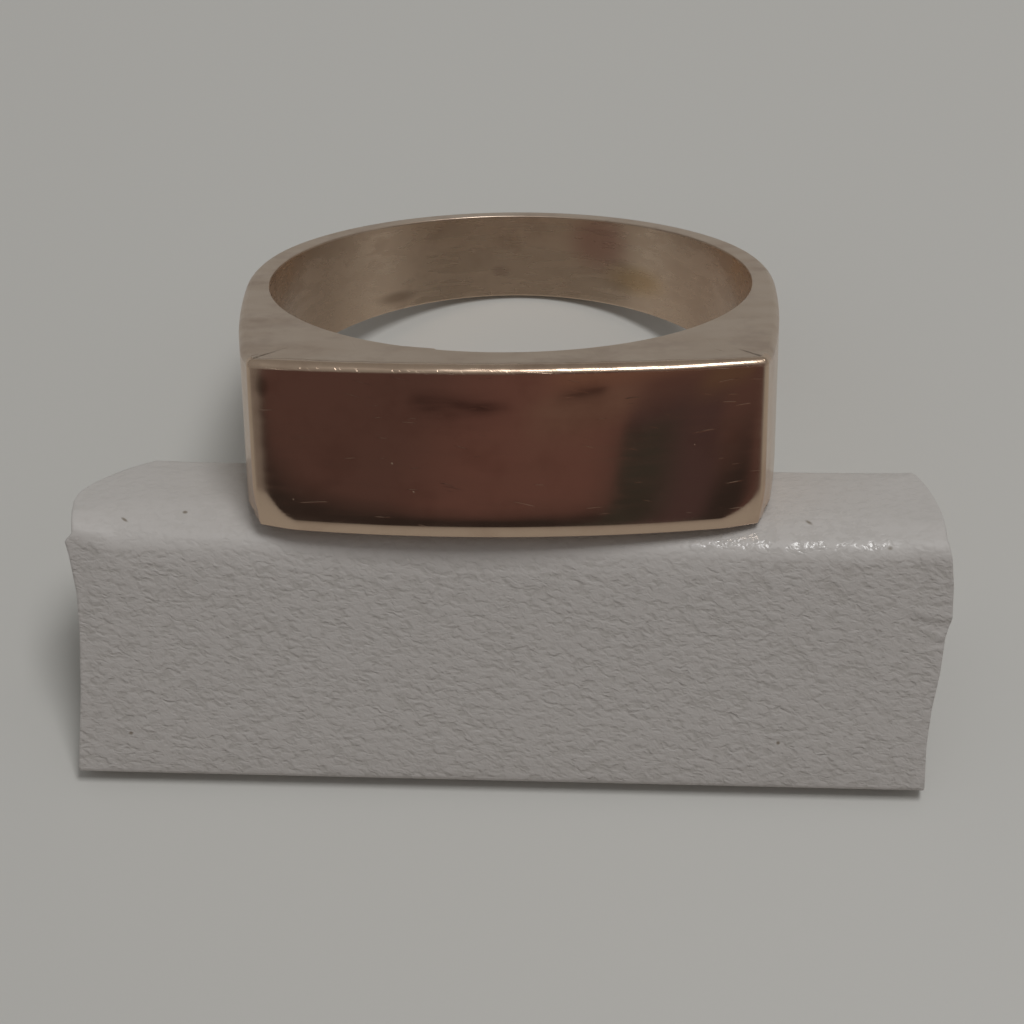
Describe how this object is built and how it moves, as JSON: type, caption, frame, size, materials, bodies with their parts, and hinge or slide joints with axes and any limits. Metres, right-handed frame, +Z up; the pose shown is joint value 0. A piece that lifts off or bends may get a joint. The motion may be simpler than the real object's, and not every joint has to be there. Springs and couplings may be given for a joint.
{
  "type": "gold bar ring on a display pad",
  "caption": "Gold ring with a plain rectangular bar plate, leaning on the sloping top of a small white leatherette display pad.",
  "frame": {"origin": "middle of the display pad's foot, on the surface that the pad stands on", "axes": "+Z is up, the pad's front and the ring's plate face -Y, and +X is to the right seen from the front"},
  "size_m": [0.034, 0.0274, 0.0161],
  "materials": {
    "gold": "solid 14 ct gold of a warm rose-yellow tone, mirror polished on the plate and in the hole, softly worn with fine scratches",
    "leatherette": "white leatherette with a fine pebbled grain, semi-matt"
  },
  "bodies": {
    "root": {"ring": "gold", "display_pad": "leatherette"}
  },
  "joints": []
}
